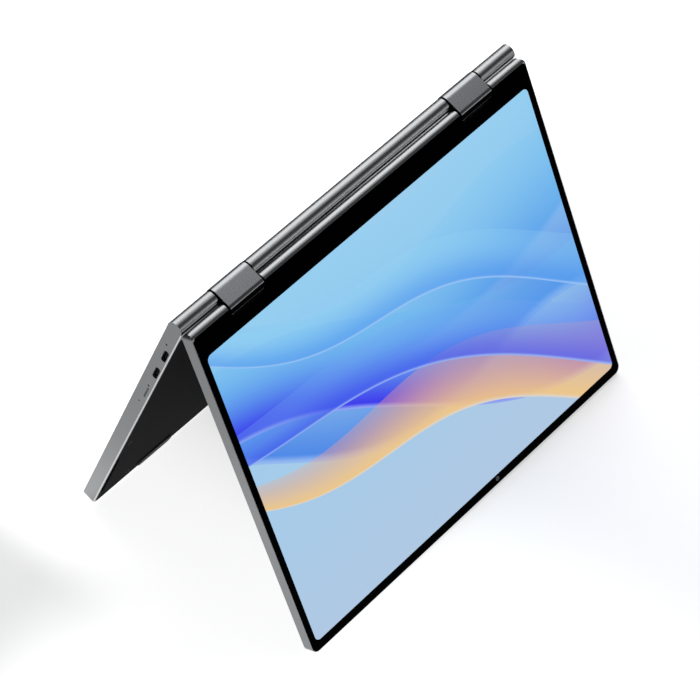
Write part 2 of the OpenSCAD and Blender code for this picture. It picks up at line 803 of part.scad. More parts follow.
module webcam_module() {
    color(black) in_lid() {
        block(camera_at[0] - 18, camera_at[0] + 18, camera_at[1] - 1.7, camera_at[1] + 1.7, glass_in + 1.6, glass_in + 2.3);
        translate([camera_at[0], camera_at[1], glass_in + 0.02]) difference() {
            cylinder(r = 1.6, h = 1.7);
            translate([0, 0, -1]) cylinder(r = 0.8, h = 1.5);
        }
    }
}

module antennas() {
    color(copper) in_lid() both_sides()
        block(60, 96, camera_at[1] - 1.5, camera_at[1] + 1.5, glass_in + 0.5, glass_in + 0.9);
}

// ---- Drawing ----

top_case();
bottom_cover();
bottom_screws();
rubber_feet();
keyboard_tray();
keyboard_web();
function_keys();
number_keys();
upper_letter_keys();
home_letter_keys();
lower_letter_keys();
modifier_keys();
space_bar();
arrow_keys();
power_key();
touchpad();
main_board();
side_board();
solid_state_drive();
wireless_card();
battery_pack();
fan_housing();
fan_impeller();
heat_pipe();
heat_sink();
left_speaker();
right_speaker();
right_usb_c_rear();
right_usb_c_front();
card_reader();
charge_light();
usb_a_port();
audio_jack();
left_base_bracket();
right_base_bracket();
left_base_shaft();
right_base_shaft();
hinge_screws();
left_hinge_block();
right_hinge_block();
left_hinge_cover();
right_hinge_cover();
base_hinge_washers();
lid_hinge_washers();
left_lid_bracket();
right_lid_bracket();
left_lid_shaft();
right_lid_shaft();
lid_shell();
display_glass();
lcd_panel();
light_guide();
panel_board();
webcam_module();
antennas();
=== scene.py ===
import bmesh
import bpy
import json
import math
from mathutils import Matrix, Vector


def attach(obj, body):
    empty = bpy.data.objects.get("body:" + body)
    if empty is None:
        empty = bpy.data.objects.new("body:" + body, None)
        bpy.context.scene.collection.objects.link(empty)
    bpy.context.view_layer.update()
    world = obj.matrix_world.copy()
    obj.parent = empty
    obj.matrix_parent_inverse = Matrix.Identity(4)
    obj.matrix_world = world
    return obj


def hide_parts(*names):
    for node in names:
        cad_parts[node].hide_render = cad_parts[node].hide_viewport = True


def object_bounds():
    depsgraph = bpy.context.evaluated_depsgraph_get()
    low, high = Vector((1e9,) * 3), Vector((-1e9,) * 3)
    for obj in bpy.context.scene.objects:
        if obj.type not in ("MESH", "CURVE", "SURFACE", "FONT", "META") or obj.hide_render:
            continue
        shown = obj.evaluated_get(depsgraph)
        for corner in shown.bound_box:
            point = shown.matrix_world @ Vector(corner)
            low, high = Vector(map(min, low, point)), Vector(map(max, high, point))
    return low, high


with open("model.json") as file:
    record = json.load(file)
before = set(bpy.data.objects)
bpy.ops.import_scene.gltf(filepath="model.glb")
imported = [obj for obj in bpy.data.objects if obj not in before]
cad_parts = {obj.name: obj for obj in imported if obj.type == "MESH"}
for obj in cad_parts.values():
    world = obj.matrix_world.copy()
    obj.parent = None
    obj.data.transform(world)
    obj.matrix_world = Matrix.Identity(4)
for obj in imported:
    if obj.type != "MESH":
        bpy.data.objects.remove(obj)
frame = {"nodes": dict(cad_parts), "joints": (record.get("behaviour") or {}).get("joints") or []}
cad_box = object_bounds()

# ---- Camera ----
# A long lens on a stand two metres away. It is on the right of the machine and in front of it, and
# looks down on to the ridge of the tent.
CAMERA_AT = Vector((-1.05334, -0.91377, 1.62140))
LOOK_RIGHT = Vector((0.65017, -0.75975, -0.00777))
LOOK_AHEAD = Vector((0.50558, 0.44026, -0.74200))
LENS_LENGTH = 176.52
SENSOR_WIDTH = 36
FARTHEST_SEEN = 20
camera = bpy.data.objects.new("camera", bpy.data.cameras.new("camera"))
bpy.context.scene.collection.objects.link(camera)
look_up = LOOK_RIGHT.cross(LOOK_AHEAD).normalized()
camera.matrix_world = Matrix.Translation(CAMERA_AT) @ Matrix(
    (LOOK_RIGHT, look_up, -LOOK_AHEAD)).transposed().to_4x4()
camera.data.sensor_width = SENSOR_WIDTH
camera.data.lens = LENS_LENGTH
camera.data.clip_end = FARTHEST_SEEN
bpy.context.scene.camera = camera

# ---- Floor and lights ----
# A pale matt sweep that is lit from below round the machine, a dim room, and soft boxes behind
# and in front. None of it belongs to the machine.
MM = 0.001


class Wire:
    """An output of a material's nodes. Arithmetic on it adds Math nodes to the same material."""

    def __init__(self, finish, socket):
        self.finish = finish
        self.socket = socket

    def math(self, operation, *inputs):
        return self.finish.node("ShaderNodeMath", {"operation": operation}, dict(enumerate(inputs)))

    def __add__(self, other):
        return self.math("ADD", self, other)

    def __sub__(self, other):
        return self.math("SUBTRACT", self, other)

    def __rsub__(self, other):
        return self.math("SUBTRACT", other, self)

    def __mul__(self, other):
        return self.math("MULTIPLY", self, other)

    def __truediv__(self, other):
        return self.math("DIVIDE", self, other)

    def __rtruediv__(self, other):
        return self.math("DIVIDE", other, self)

    __radd__ = __add__
    __rmul__ = __mul__

    def clip(self):
        return self.finish.node("ShaderNodeClamp", {}, {0: self})

    def step(self, start, end):
        """0 below start, 1 above end and smooth between them."""
        return self.finish.node("ShaderNodeMapRange", {"interpolation_type": "SMOOTHSTEP"},
                                {0: self, 1: start, 2: end, 3: 0, 4: 1})


class Finish:
    """A material with one Principled shader. Constants go straight on the shader's own sockets."""

    def __init__(self, name, **constants):
        self.material = bpy.data.materials.new(name)
        self.material.use_nodes = True
        self.tree = self.material.node_tree
        self.shader = self.tree.nodes["Principled BSDF"]
        for socket, value in constants.items():
            self.shader.inputs[socket.replace("_", " ")].default_value = value

    def node(self, kind, settings={}, inputs={}, output=0):
        """Adds a node: its settings first, then the values or links of its inputs."""
        made = self.tree.nodes.new(kind)
        for setting, value in settings.items():
            setattr(made, setting, value)
        for key, value in inputs.items():
            if isinstance(value, Wire):
                self.tree.links.new(value.socket, made.inputs[key])
            else:
                made.inputs[key].default_value = value
        return Wire(self, made.outputs[output])

    def feed(self, **inputs):
        """Links wires to the shader's sockets and gives the finished material."""
        for socket, wire in inputs.items():
            self.tree.links.new(wire.socket, self.shader.inputs[socket.replace("_", " ")])
        return self.material

    def place(self, space=Matrix.Identity(4)):
        """The point of the surface, told in a piece's own flat space and in millimetres."""
        flat = space.inverted()
        point = self.node("ShaderNodeTexCoord", {}, {}, "Object")
        moved = self.node("ShaderNodeMapping", {"vector_type": "POINT"},
                          {0: point, 1: flat.translation, 2: Vector(flat.to_euler())})
        return self.node("ShaderNodeVectorMath", {"operation": "SCALE"}, {0: moved, "Scale": 1 / MM})

    def noise(self, place, scale, detail=2.0, rough=0.5):
        return self.node("ShaderNodeTexNoise", {"noise_dimensions": "3D"},
                         {"Vector": place, "Scale": scale, "Detail": detail, "Roughness": rough}, "Fac")

    def part(self, point, letter):
        """One coordinate of a point."""
        return self.node("ShaderNodeSeparateXYZ", {}, {0: point}, letter)

    def mix(self, factor, first, second):
        return self.node("ShaderNodeMix", {"data_type": "RGBA"}, {0: factor, 6: first, 7: second}, 2)

    def bump(self, height, distance):
        """A bump of that height in metres."""
        return self.node("ShaderNodeBump", {}, {"Height": height, "Distance": distance})


def paint(name, *materials):
    """Puts materials on an object or on a CAD node, in their order."""
    piece = frame["nodes"][name] if isinstance(name, str) else name
    if piece.data.materials:
        piece.data.materials.clear()
    for material in materials:
        piece.data.materials.append(material)
    return piece


SHARP = math.radians(48)


def make_piece(name, mesh, *materials):
    """Turns a bmesh into an object with its sharp edges kept and its flat faces truly flat."""
    for face in mesh.faces:
        face.smooth = True
    for edge in mesh.edges:
        edge.smooth = len(edge.link_faces) == 2 and edge.calc_face_angle(0) < SHARP
    data = bpy.data.meshes.new(name)
    mesh.to_mesh(data)
    mesh.free()
    piece = bpy.data.objects.new(name, data)
    bpy.context.scene.collection.objects.link(piece)
    normals = piece.modifiers.new("flat_faces", "WEIGHTED_NORMAL")
    normals.keep_sharp = True
    return paint(piece, *materials)


FLOOR_RADIUS = 6
# The sweep's own light. It fades from the machine's right to its left, is strong behind it on the
# left, and ends under the tent and far out.
BRIGHT_GLOW = (0.90, 0.90, 0.90, 1)
HALF_GLOW = (0.5, 0.5, 0.5, 1)
SIDE_GLOW = (0.85, 0.85, 0.85, 1)
SIDE_REAR_GLOW = (0.38, 0.38, 0.38, 1)
REAR_GLOW = (1.05, 1.05, 1.05, 1)
NO_GLOW = (0.02, 0.02, 0.02, 1)
FAR_PAINTED_SHADE = (0.42, 0.42, 0.42, 1)
floor_mesh = bmesh.new()
bmesh.ops.create_circle(floor_mesh, cap_ends=True, radius=FLOOR_RADIUS, segments=96)
sweep = Finish("pale_sweep", Specular_IOR_Level=0.05, Emission_Strength=1.0)
sweep_place = sweep.place()
grain = sweep.noise(sweep_place, 0.05, 4)
floor_x = sweep.part(sweep_place, "X")
floor_y = sweep.part(sweep_place, "Y")
reach = sweep.node("ShaderNodeVectorMath", {"operation": "LENGTH"}, {0: sweep_place}, "Value")
front_left = (0.6 * floor_x - 0.8 * floor_y).step(235, 420)
far_out = reach.math("MAXIMUM", reach.step(430, 760), front_left)
under_across = floor_x.step(-60, 0) * (1 - floor_x.step(130, 155))
under = under_across * (1 - floor_y.math("ABSOLUTE", floor_y).step(60, 85))
unlit = far_out.math("MAXIMUM", far_out, under)
glow = sweep.mix(floor_x.step(-120, 60), BRIGHT_GLOW, HALF_GLOW)
beside = sweep.mix(floor_y.step(-10, 80), SIDE_GLOW, SIDE_REAR_GLOW)
glow = sweep.mix(floor_x.step(-215, -160), beside, glow)
glow = sweep.mix(floor_x.step(-60, 20) * floor_y.step(80, 130), glow, REAR_GLOW)
near_white = sweep.mix(grain, (0.88, 0.88, 0.88, 1), (0.90, 0.90, 0.90, 1))
# Painted shade: far out and towards the front left, the sweep's colour is grey, for a dim room.
sweep.feed(Base_Color=sweep.mix(far_out, near_white, FAR_PAINTED_SHADE),
           Emission_Color=sweep.mix(unlit, glow, NO_GLOW), Roughness=0.75 + 0.1 * grain)
floor = make_piece("floor", floor_mesh, sweep.material)

SKY_COLOUR = (0.92, 0.96, 1.0, 1)
SKY_STRENGTH = 0.10
sky = bpy.data.worlds.new("studio_sky")
bpy.context.scene.world = sky
sky.use_nodes = True
sky.node_tree.nodes["Background"].inputs["Color"].default_value = SKY_COLOUR
sky.node_tree.nodes["Background"].inputs["Strength"].default_value = SKY_STRENGTH


def soft_box(name, at, aim, width, height, power):
    """A rectangular lamp that looks from one point to another: metres, and watts for its power."""
    lamp = bpy.data.lights.new(name, "AREA")
    lamp.shape = "RECTANGLE"
    lamp.size = width
    lamp.size_y = height
    lamp.energy = power
    held = bpy.data.objects.new(name, lamp)
    bpy.context.scene.collection.objects.link(held)
    held.location = at
    held.rotation_euler = (Vector(aim) - Vector(at)).to_track_quat("-Z", "Y").to_euler()


machine_middle = (cad_box[0] + cad_box[1]) / 2
soft_box("key_box", (0.95, 0.88, 1.46), machine_middle, 1.3, 1.25, 10)
soft_box("wide_box", (1.05, 0.75, 1.80), machine_middle, 2.4, 2.3, 20.3)
soft_box("front_box", (0.95, -1.62, 0.52), machine_middle, 1.4, 0.55, 3.4)
bpy.context.scene.view_settings.view_transform = "Standard"

# ---- Top case ----
# The base's upper casing: one piece of milled aluminium, bead-blasted and anodised dark grey.
# It has the keyboard deck, the side walls with their sockets and the round spine at the rear.
# Its bottom edge is cut bright, with a painted highlight along it, and painted shade darkens the spine
# beside each hinge.
joints = {joint["name"]: joint for joint in frame["joints"]}
key_lift = Vector(joints["space_bar_press"]["axis"])
base_tilt = math.atan2(-key_lift.y, key_lift.z)
base_axis = Vector(joints["left_hinge_turn"]["pos_m"])
base_space = Matrix.Translation((0, base_axis.y, base_axis.z)) @ Matrix.Rotation(base_tilt, 4, "X")


def anodised(name, tone, space, roughness=0.30):
    """Bead-blasted aluminium under a dyed oxide: a fine sparkle and a very faint cloud."""
    metal = Finish(name, Metallic=1.0)
    place = metal.place(space)
    beads = metal.noise(place, 5.5, 3, 0.6)
    cloud = metal.noise(place, 0.03, 2)
    shade = 0.9 + 0.14 * beads + 0.06 * cloud
    colour = metal.node("ShaderNodeVectorMath", {"operation": "SCALE"}, {0: tone, "Scale": shade})
    rough = roughness - 0.05 + 0.08 * beads + 0.03 * cloud
    return metal.feed(Base_Color=colour, Roughness=rough, Normal=metal.bump(beads, 0.002 * MM))


SAME_POINT = 0.002 * MM
SAME_PLANE = math.radians(0.3)


def cad_copy(node, space):
    """A CAD node's mesh in its flat space, with each flat face whole again."""
    mesh = bmesh.new()
    mesh.from_mesh(frame["nodes"][node].data)
    mesh.transform(space.inverted())
    bmesh.ops.remove_doubles(mesh, verts=mesh.verts, dist=SAME_POINT)
    bmesh.ops.dissolve_limit(mesh, angle_limit=SAME_PLANE, verts=mesh.verts, edges=mesh.edges)
    return mesh


ARRIS = math.radians(40)


def soften(mesh, width, rim):
    """Rounds the sharp edges that rim(first, second) picks, from their end points in millimetres."""
    chosen = [edge for edge in mesh.edges
              if len(edge.link_faces) == 2 and edge.calc_face_angle(0) > ARRIS
              and rim(*(vertex.co / MM for vertex in edge.verts))]
    bmesh.ops.bevel(mesh, geom=chosen, offset=width * MM, offset_type="OFFSET", segments=2,
                    profile=0.5, affect="EDGES", clamp_overlap=False)


def replace_node(node, mesh, space, body, slot, *materials):
    """A finished piece that stands for a CAD node and moves with its body."""
    mesh.transform(space)
    piece = make_piece(node + "_finished", mesh, *materials)
    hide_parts(node)
    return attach(piece, body)


def black_gap_shade_and_plastic(space):
    """Dull black: painted shade on the spine's ends in the gaps beside each hinge, and the hinge blocks' own
    black plastic.
    """
    shade_black = Finish("gap_shade_and_block_plastic", Specular_IOR_Level=0.008)
    specks = shade_black.noise(shade_black.place(space), 6, 2)
    return shade_black.feed(Base_Color=shade_black.mix(specks, (0.0008, 0.0008, 0.0008, 1), (0.002, 0.002, 0.002, 1)),
                     Roughness=0.6 + 0.2 * specks)


# Where the painted shade on either side of a hinge begins and ends, from the middle of the machine.
INNER_GAP_SHADE = (86.3, 87.01)
OUTER_GAP_SHADE = (116.19, 116.9)


def paint_gap_shade(mesh, index, depth):
    """Gives each end of the spine beside a hinge the black of the painted shade, 0.7 mm of it on the
    outside.
    """
    for x in INNER_GAP_SHADE[0], OUTER_GAP_SHADE[1], -INNER_GAP_SHADE[0], -OUTER_GAP_SHADE[1]:
        near = [face for face in mesh.faces if face.calc_center_median().y < depth * MM]
        edges = dict.fromkeys(edge for face in near for edge in face.edges)
        corners = dict.fromkeys(vertex for face in near for vertex in face.verts)
        bmesh.ops.bisect_plane(mesh, geom=[*near, *edges, *corners], plane_co=(x * MM, 0, 0),
                               plane_no=(1, 0, 0))
    for face in mesh.faces:
        centre = face.calc_center_median() / MM
        inner = INNER_GAP_SHADE[0] < abs(centre.x) < INNER_GAP_SHADE[1]
        outer = OUTER_GAP_SHADE[0] < abs(centre.x) < OUTER_GAP_SHADE[1]
        if (inner or outer) and centre.y < depth:
            face.material_index = index


DECK = 5.19
DECK_SIDE = 136
DECK_FRONT = 218
OPENINGS_SIDE = 143
OPENINGS_REAR = 20
OPENINGS_FRONT = 228
SHORTEST_EDGE = 0.05
BEVEL_BELOW = -3
CASE_GREY = (0.245, 0.25, 0.255)
CUT_METAL_AND_HIGHLIGHT = (0.62, 0.63, 0.64)
top_case = cad_copy("top_case", base_space)
# First the outer edges of the deck, then the edges of its openings.
soften(top_case, 0.25, lambda a, b: min(a.z, b.z) > DECK
       and (abs(a.x + b.x) > 2 * DECK_SIDE or a.y + b.y > 2 * DECK_FRONT))
soften(top_case, 0.15, lambda a, b: min(a.z, b.z) > DECK and abs(a.x + b.x) < 2 * OPENINGS_SIDE
       and OPENINGS_REAR < a.y < OPENINGS_FRONT and (a - b).length > SHORTEST_EDGE)
# The bottom bevel is cut bare metal, and its bright colour is also a painted highlight along the bottom
# edge.
for face in top_case.faces:
    centre = face.calc_center_median() / MM
    if 0.6 < -face.normal.z < 0.8 and centre.z < BEVEL_BELOW:
        face.material_index = 1
# Painted shade: the spine's ends beside each hinge are black, where the gaps to the covers lie.
paint_gap_shade(top_case, index=2, depth=6)
replace_node("top_case", top_case, base_space, "base", "anodised_metal",
             anodised("case_anodising", CASE_GREY, base_space),
             anodised("cut_bevel_and_highlight", CUT_METAL_AND_HIGHLIGHT, base_space, 0.22), black_gap_shade_and_plastic(base_space))

# ---- Keyboard tray and web ----
# A stamped steel tray is screwed under the deck and carries the keys. The web is a moulded black
# lattice that fills the gaps between them.
TRAY_GREY = (0.3, 0.3, 0.31)
WEB_BLACK = (0.012, 0.012, 0.013)


def moulded(name, tone, space, roughness):
    """Moulded plastic with a spark-eroded skin: soft grain, a little cloud and a dull sheen."""
    plastic = Finish(name, Specular_IOR_Level=0.4)
    place = plastic.place(space)
    grain = plastic.noise(place, 7, 3, 0.65)
    cloud = plastic.noise(place, 0.06, 2)
    lift = 0.82 + 0.3 * grain + 0.12 * cloud
    colour = plastic.node("ShaderNodeVectorMath", {"operation": "SCALE"}, {0: tone, "Scale": lift})
    return plastic.feed(Base_Color=colour, Roughness=roughness - 0.08 + 0.16 * grain,
                        Normal=plastic.bump(grain, 0.012 * MM))


STEEL_GREY = (0.46, 0.46, 0.48)
ROLLED = (0.05, 6, 6)


def steel_sheet(name, space, tone=STEEL_GREY, roughness=0.3, along=ROLLED):
    """Rolled, turned or pressed steel: fine lines, drawn out along X, and a few darker patches."""
    steel = Finish(name, Metallic=1.0)
    place = steel.place(space)
    drawn = steel.node("ShaderNodeVectorMath", {"operation": "MULTIPLY"}, {0: place, 1: along})
    lines = steel.noise(drawn, 1.2, 4, 0.7)
    patch = steel.noise(place, 0.12, 3)
    shade = 0.8 + 0.25 * lines + 0.12 * patch
    colour = steel.node("ShaderNodeVectorMath", {"operation": "SCALE"}, {0: tone, "Scale": shade})
    return steel.feed(Base_Color=colour, Roughness=roughness + 0.12 * lines + 0.06 * patch,
                      Normal=steel.bump(lines, 0.003 * MM))


paint("keyboard_tray", steel_sheet("tray_steel", base_space, TRAY_GREY, 0.4))
paint("keyboard_web", moulded("web_plastic", WEB_BLACK, base_space, 0.6))

# ---- Keycaps ----
# Scooped caps of black ABS with a matt lacquer and a pad-printed white legend. Each cap sits on
# scissor links and a rubber dome, and a whole row moves as one here.
KEY_BLACK = (0.016, 0.016, 0.018)
cap_plastic = moulded("cap_plastic", KEY_BLACK, base_space, 0.48)
legend_ink = Finish("legend_ink", Specular_IOR_Level=0.3)
ink_wear = legend_ink.noise(legend_ink.place(base_space), 3, 3)
legend_ink.feed(Base_Color=legend_ink.mix(ink_wear, (0.62, 0.63, 0.64, 1), (0.8, 0.81, 0.82, 1)),
                Roughness=0.5 + 0.2 * ink_wear)
SCOOP = 0.14
CAP_CORNER = 1.2
LEAST_CORNER = 0.35
LEAST_TOP = 1.3
# The rings of a cap from its foot to its middle: how far in, the share of the cap's height, and
# what is added to that height.
CAP_RINGS = ((0.10, 0.0, 0.0), (0.0, 0.12, 0.0), (0.0, 1.0, -0.42), (0.07, 1.0, -0.20), (0.22, 1.0, -0.06),
             (0.45, 1.0, 0.0), (1.1, 1.0, -0.4 * SCOOP), (2.2, 1.0, -0.8 * SCOOP), (3.4, 1.0, -SCOOP))


def corner_ring(mesh, x0, x1, y0, y1, radius, z, steps=5):
    """A ring of points round a rectangle with round corners, in millimetres."""
    ring = []
    for cx, cy, start in ((x1, y1, 0), (x0, y1, 90), (x0, y0, 180), (x1, y0, 270)):
        sx = math.copysign(radius, cx - (x0 + x1) / 2)
        sy = math.copysign(radius, cy - (y0 + y1) / 2)
        for step in range(steps + 1):
            angle = math.radians(start + 90 * step / steps)
            at = Vector((cx - sx + radius * math.cos(angle), cy - sy + radius * math.sin(angle), z))
            ring.append(mesh.verts.new(at * MM))
    return ring


def join_rings(mesh, first, second):
    """A band of faces between two rings."""
    for i, corner in enumerate(first):
        following = (i + 1) % len(first)
        mesh.faces.new((corner, first[following], second[following], second[i]))


def islands(mesh):
    """The boxes of a mesh's loose parts in millimetres, from the user's left to right."""
    left = set(mesh.verts)
    boxes = []
    while left:
        reached = [left.pop()]
        for vertex in reached:
            for edge in vertex.link_edges:
                other = edge.other_vert(vertex)
                if other in left:
                    left.discard(other)
                    reached.append(other)
        points = [vertex.co / MM for vertex in reached]
        boxes.append([(min(p[i] for p in points), max(p[i] for p in points)) for i in range(3)])
    return sorted(boxes, key=lambda box: (-round(sum(box[0]), 1), box[1][0]))


def keycap(mesh, box):
    """One scooped keycap in the place of its plain block."""
    (x0, x1), (y0, y1), (z0, z1) = box
    below = None
    for inset, high, drop in CAP_RINGS:
        reach = min(inset, (y1 - y0) / 2 - LEAST_TOP)
        ring = corner_ring(mesh, x0 + reach, x1 - reach, y0 + reach, y1 - reach,
                           max(CAP_CORNER - 0.5 * reach, LEAST_CORNER), z0 + high * (z1 - z0) + drop)
        if below:
            join_rings(mesh, below, ring)
        else:
            mesh.faces.new(list(reversed(ring)))
        below = ring
    mesh.faces.new(below)


INK_DEPTH = 0.01
WORD_SHARE = 0.62


def printed(name, words, boxes, size, body, ink):
    """Thin printed words, centred on the boxes and read from the user's seat."""
    mesh = bmesh.new()
    for word, ((x0, x1), (y0, y1), (z0, z1)) in zip(words, boxes):
        curve = bpy.data.curves.new("word", "FONT")
        curve.body = word
        curve.size = size * MM * (1 if len(word) < 2 else WORD_SHARE)
        curve.extrude = INK_DEPTH * MM
        curve.resolution_u = 3
        curve.align_x = "CENTER"
        curve.align_y = "CENTER"
        held = bpy.data.objects.new("word", curve)
        bpy.context.scene.collection.objects.link(held)
        bpy.context.view_layer.update()
        drawn = held.evaluated_get(bpy.context.evaluated_depsgraph_get())
        letters = bpy.data.meshes.new_from_object(drawn)
        at = Vector(((x0 + x1) / 2, (y0 + y1) / 2, z1 - SCOOP + INK_DEPTH)) * MM
        letters.transform(Matrix.Translation(at) @ Matrix.Rotation(math.pi, 4, "Z"))
        mesh.from_mesh(letters)
        bpy.data.objects.remove(held)
        bpy.data.curves.remove(curve)
        bpy.data.meshes.remove(letters)
    mesh.transform(base_space)
    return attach(make_piece(name, mesh, ink), body)


KEY_WORDS = {
    "function_keys": ["esc"] + ["F%d" % i for i in range(1, 13)] + ["del"],
    "number_keys": list("`1234567890-=") + ["back"],
    "upper_letter_keys": ["tab"] + list("QWERTYUIOP[]\\"),
    "home_letter_keys": ["caps"] + list("ASDFGHJKL;'") + ["enter"],
    "lower_letter_keys": ["shift"] + list("ZXCVBNM,./") + ["shift"],
    "modifier_keys": ["ctrl", "fn", "menu", "alt", "alt", "ctrl"],
    "arrow_keys": ["<", "^", "v", ">"],
    "space_bar": [],
    "power_key": [],
}
FUNCTION_LETTER = 3.2
LETTER = 4.4
for row, words in KEY_WORDS.items():
    boxes = islands(cad_copy(row, base_space))
    caps = bmesh.new()
    for box in boxes:
        keycap(caps, box)
    replace_node(row, caps, base_space, row, "key_plastic", cap_plastic)
    if words:
        letter_size = FUNCTION_LETTER if row == "function_keys" else LETTER
        printed(row.replace("keys", "legends"), words, boxes, letter_size, row, legend_ink.material)

# The mark on the power key is an open ring with a bar in its gap.
RING_RADII = (1.35, 1.7)
RING_START = -55
RING_SWEEP = 290
RING_STEPS = 28
BAR_HALF = 0.17
BAR_ENDS = (-1.9, -0.5)
power_box = islands(cad_copy("power_key", base_space))[0]
power_mark = bmesh.new()
centre = Vector((sum(power_box[0]) / 2, sum(power_box[1]) / 2, power_box[2][1] - SCOOP + 2 * INK_DEPTH)) * MM
angles = [math.radians(RING_START + RING_SWEEP * i / RING_STEPS) for i in range(RING_STEPS + 1)]
inner, outer = [[power_mark.verts.new(centre + Vector((math.cos(a), math.sin(a), 0)) * radius * MM)
                 for a in angles] for radius in RING_RADII]
for i in range(RING_STEPS):
    power_mark.faces.new((inner[i], outer[i], outer[i + 1], inner[i + 1]))
outer_end, inner_end = BAR_ENDS
power_mark.faces.new([power_mark.verts.new(centre + Vector((x, y, 0)) * MM) for x, y in (
    (-BAR_HALF, outer_end), (BAR_HALF, outer_end), (BAR_HALF, inner_end), (-BAR_HALF, inner_end))])
power_mark.transform(base_space)
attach(make_piece("power_mark", power_mark, legend_ink.material), "power_key")

# ---- Touchpad ----
# A thin pad of etched glass, painted dark grey behind and glued to a steel plate. It rocks on a
# bar under its rear edge, and its front edge presses a switch.
pad = Finish("etched_pad", Specular_IOR_Level=0.45)
pad_place = pad.place(base_space)
etch = pad.noise(pad_place, 9, 2, 0.6)
wear = pad.noise(pad_place, 0.05, 3)
pad.feed(Base_Color=pad.mix(etch, (0.052, 0.053, 0.056, 1), (0.068, 0.069, 0.072, 1)),
         Roughness=0.34 + 0.06 * etch + 0.08 * wear, Normal=pad.bump(etch, 0.002 * MM))
PAD_FACE = 5.05
touchpad = cad_copy("touchpad", base_space)
soften(touchpad, 0.3, lambda a, b: min(a.z, b.z) > PAD_FACE)
replace_node("touchpad", touchpad, base_space, "touchpad", "pad_glass", pad.material)

# ---- Sockets ----
# Stamped steel shells soldered to the boards behind the side walls, coloured near black as painted
# shade in the mouths. Their tongues are black moulded plastic. The audio jack is moulded in black nylon.
SHELL_PAINTED_SHADE = (0.02, 0.02, 0.021)
TONGUE_BLACK = (0.003, 0.003, 0.003)
CONTACT_GOLD = (0.75, 0.56, 0.25)
C_SOCKETS = ((30, -2.1), (51.2, -2.0))
# The tongue of the larger socket on the left: both its ends along X, then along Y and along Z.
A_TONGUE = (134.2, 146.16, 28.34, 39.66, -0.96, 0.96)
A_CONTACTS = (30.6, 32.9, 35.1, 37.4)
# Painted shade: the socket shells are near black, for the shade inside their mouths.
socket_shade_steel = steel_sheet("socket_shade_steel", base_space, SHELL_PAINTED_SHADE, 0.6)
tongue_plastic = moulded("tongue_plastic", TONGUE_BLACK, base_space, 0.8)
for node in ("right_usb_c_rear", "right_usb_c_front", "usb_a_port"):
    paint(node, socket_shade_steel)
paint("audio_jack", tongue_plastic)


def flat_block(name, body, material, boxes, space, width=0.1):
    """Blocks with rounded edges in a flat space, in millimetres, as one object."""
    mesh = bmesh.new()
    for x0, x1, y0, y1, z0, z1 in boxes:
        size = Matrix.Diagonal(((x1 - x0) * MM, (y1 - y0) * MM, (z1 - z0) * MM, 1))
        middle = Matrix.Translation(Vector(((x0 + x1) / 2, (y0 + y1) / 2, (z0 + z1) / 2)) * MM)
        bmesh.ops.create_cube(mesh, size=1, matrix=middle @ size)
    bmesh.ops.bevel(mesh, geom=mesh.edges[:], offset=width * MM, offset_type="OFFSET", segments=2,
                    profile=0.5, affect="EDGES", clamp_overlap=True)
    mesh.transform(space)
    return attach(make_piece(name, mesh, material), body)


flat_block("usb_c_tongues", "base", tongue_plastic,
           [(-146.46, -139.7, y - 3.36, y + 3.36, z - 0.4, z + 0.4) for y, z in C_SOCKETS], base_space)
flat_block("usb_a_tongue", "base", tongue_plastic, [A_TONGUE], base_space)
flat_block("usb_a_contacts", "base", steel_sheet("contact_gold", base_space, CONTACT_GOLD, 0.25),
           [(137, 145.6, y - 0.5, y + 0.5, -1.03, -0.9) for y in A_CONTACTS], base_space, 0.03)

# ---- Card reader ----
# A folded steel cage on the board. A sprung steel shutter close behind its mouth keeps dust out
# until a memory card pushes it in.
SHUTTER_GREY = (0.13, 0.13, 0.135)
SHUTTER = (-147.45, -147.2, 70.9, 81.7, -2.40, -1.50)
paint("card_reader", steel_sheet("reader_steel", base_space))
flat_block("card_shutter", "base", steel_sheet("shutter_steel", base_space, SHUTTER_GREY, 0.4),
           [SHUTTER], base_space, 0.04)

# ---- Pinhole gauze ----
# Small plugs of fine black gauze, pressed into the two pinholes of the side wall. They let sound
# in and keep dust out.
PINHOLES = ((68.6, -1.3), (89.7, -0.2))
flat_block("pinhole_gauze", "base", tongue_plastic,
           [(-147.3, -146.6, y - 0.9, y + 0.9, z - 0.9, z + 0.9) for y, z in PINHOLES], base_space, 0.05)

# ---- Charge light ----
# A short clear rod that brings a lamp on the board to the side wall. A shoulder on it rests behind
# the wall. It is dark while nothing charges.
light_pipe = Finish("light_pipe", Specular_IOR_Level=0.1)
milk = light_pipe.noise(light_pipe.place(base_space), 2, 3)
light_pipe.feed(Base_Color=light_pipe.mix(milk, (0.003, 0.003, 0.003, 1), (0.008, 0.008, 0.009, 1)),
                Roughness=0.3 + 0.2 * milk)
paint("charge_light", light_pipe.material)

# ---- Boards ----
# Glass-fibre boards with green solder mask over copper tracks, gold pads and black chips. They
# are screwed to the top case, and the side board feeds the sockets on the left.
CHIP_EDGE = 0.04


